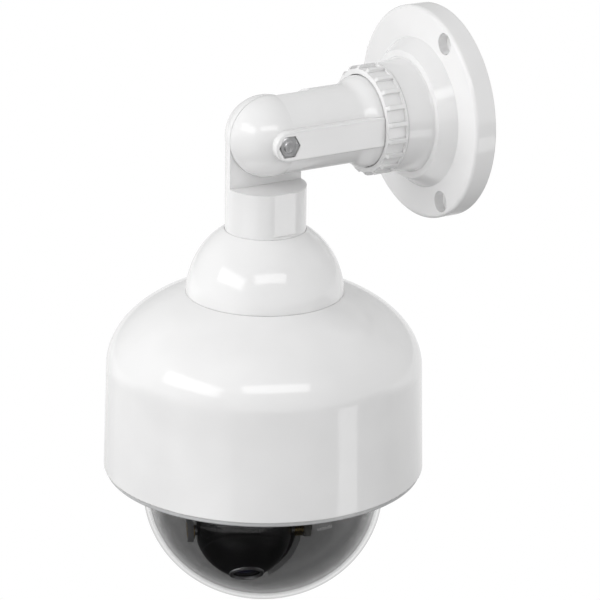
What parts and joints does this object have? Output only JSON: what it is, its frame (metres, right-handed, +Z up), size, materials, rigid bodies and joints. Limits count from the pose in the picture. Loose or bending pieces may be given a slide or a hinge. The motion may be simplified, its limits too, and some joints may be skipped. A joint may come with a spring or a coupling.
{
  "type": "dome cctv camera",
  "caption": "Dome surveillance camera on a folding wall arm, with a smoked bubble over a motorised pan and tilt eye.",
  "frame": {"origin": "centre of the wall flange's mounting face", "axes": "+Y into the wall and along the arm's axis, the arm reaches out along -Y; +Z up, the head hangs down along -Z at rest; +X the side of the elbow that holds the hexagon nut"},
  "size_m": [0.13, 0.145, 0.2388],
  "materials": {
    "white_shell": "glossy moulded white",
    "lip_white": "satin moulded light grey-white",
    "dome_smoke": "clear polished dome with a light smoke tint",
    "eye_black": "glossy black",
    "stage_grey": "matt dark grey",
    "lens_black": "black anodised",
    "lens_glass": "coated optical glass",
    "trim_metal": "satin anodised",
    "fastener_steel": "zinc plated and turned steel",
    "bearing_steel": "ground bearing steel",
    "motor_steel": "drawn and plated can",
    "brass_parts": "machined brass",
    "gear_plastic": "natural acetal",
    "seal_rubber": "matt black rubber",
    "friction_nylon": "natural nylon",
    "cable_jacket": "matt black jacket",
    "chassis_metal": "stamped and turned aluminium",
    "heatsink_alu": "extruded, dark anodised",
    "board_green": "solder mask over laminate",
    "chip_black": "moulded package",
    "connector_ivory": "moulded connector"
  },
  "bodies": {
    "wall_mount": {"wall_flange": "white_shell"},
    "lock_ring": {"locking_ring": "white_shell"},
    "arm": {"arm_tube": "white_shell", "arm_o_ring": "seal_rubber", "pivot_bolt": "fastener_steel", "pivot_nut": "fastener_steel", "pivot_washer": "fastener_steel", "elbow_washer": "friction_nylon", "arm_cable": "cable_jacket"},
    "head": {"neck_bracket": "white_shell", "hub_cap": "white_shell", "neck_lock_nut": "chassis_metal", "hub_seal": "seal_rubber", "hub_screws": "fastener_steel", "head_cable": "cable_jacket", "housing_shell": "white_shell", "lip_ring": "lip_white", "lip_screws": "fastener_steel", "housing_seal": "seal_rubber", "dome_bubble": "dome_smoke", "dome_gasket": "seal_rubber", "dome_retainer": "chassis_metal", "retainer_screws": "fastener_steel", "chassis_plate": "chassis_metal", "chassis_screws": "fastener_steel", "board_standoffs": "brass_parts", "main_board": "board_green", "board_screws": "fastener_steel", "processor": "chip_black", "heatsink": "heatsink_alu", "cable_connector": "connector_ivory", "bearing_outer_race": "bearing_steel", "bearing_balls": "bearing_steel", "pan_motor": "motor_steel", "pan_motor_screws": "fastener_steel"},
    "pan_drive": {"pan_motor_shaft": "fastener_steel", "pan_pinion": "brass_parts"},
    "pan_stage": {"bearing_inner_race": "bearing_steel", "pan_gear": "gear_plastic", "yoke": "stage_grey", "yoke_screws": "fastener_steel", "tilt_bushings": "brass_parts", "tilt_motor": "motor_steel", "tilt_motor_screws": "fastener_steel"},
    "tilt_drive": {"tilt_motor_shaft": "fastener_steel", "tilt_pinion": "brass_parts"},
    "eye": {"tilt_gear": "gear_plastic", "tilt_pins": "fastener_steel", "eye_rear_shell": "eye_black", "eye_front_shell": "eye_black", "eye_screws": "fastener_steel", "lens_trim_ring": "trim_metal", "sensor_board": "board_green", "sensor_chip": "chip_black", "lens_holder": "lens_black"},
    "lens": {"lens_barrel": "lens_black", "lens_front_glass": "lens_glass", "lens_rear_glass": "lens_glass"}
  },
  "joints": [
    {"name": "locking_ring_turn", "type": "hinge", "parent": "wall_mount", "child": "lock_ring", "pos_m": [0, 0, 0], "axis": [0, -1, 0], "range_deg": [0, 90]},
    {"name": "arm_roll", "type": "hinge", "parent": "wall_mount", "child": "arm", "pos_m": [0, 0, 0], "axis": [0, 1, 0], "range_deg": [-180, 180]},
    {"name": "elbow_tilt", "type": "hinge", "parent": "arm", "child": "head", "pos_m": [0, -0.08, 0], "axis": [-1, 0, 0], "range_deg": [0, 90]},
    {"name": "camera_pan", "type": "hinge", "parent": "head", "child": "pan_stage", "pos_m": [0, -0.08, -0.122], "axis": [0, 0, 1], "range_deg": [-175, 175]},
    {"name": "pan_pinion_turn", "type": "hinge", "parent": "head", "child": "pan_drive", "pos_m": [-0.03383, -0.09231, -0.124], "axis": [0, 0, 1], "range_deg": [-700, 700]},
    {"name": "camera_tilt", "type": "hinge", "parent": "pan_stage", "child": "eye", "pos_m": [-0.00321, -0.08722, -0.168], "axis": [0.4067, 0.9135, 0], "range_deg": [-46, 44]},
    {"name": "tilt_pinion_turn", "type": "hinge", "parent": "pan_stage", "child": "tilt_drive", "pos_m": [-0.01052, -0.08396, -0.15414], "axis": [0.4067, 0.9135, 0], "range_deg": [-140, 140]},
    {"name": "lens_focus", "type": "hinge", "parent": "eye", "child": "lens", "pos_m": [-0.00321, -0.08722, -0.168], "axis": [0.6346, -0.2825, -0.7193], "range_deg": [-30, 30]}
  ],
  "couplings": [
    {"joint": "pan_pinion_turn", "follows": "camera_pan", "ratio": -4},
    {"joint": "tilt_pinion_turn", "follows": "camera_tilt", "ratio": -3}
  ]
}
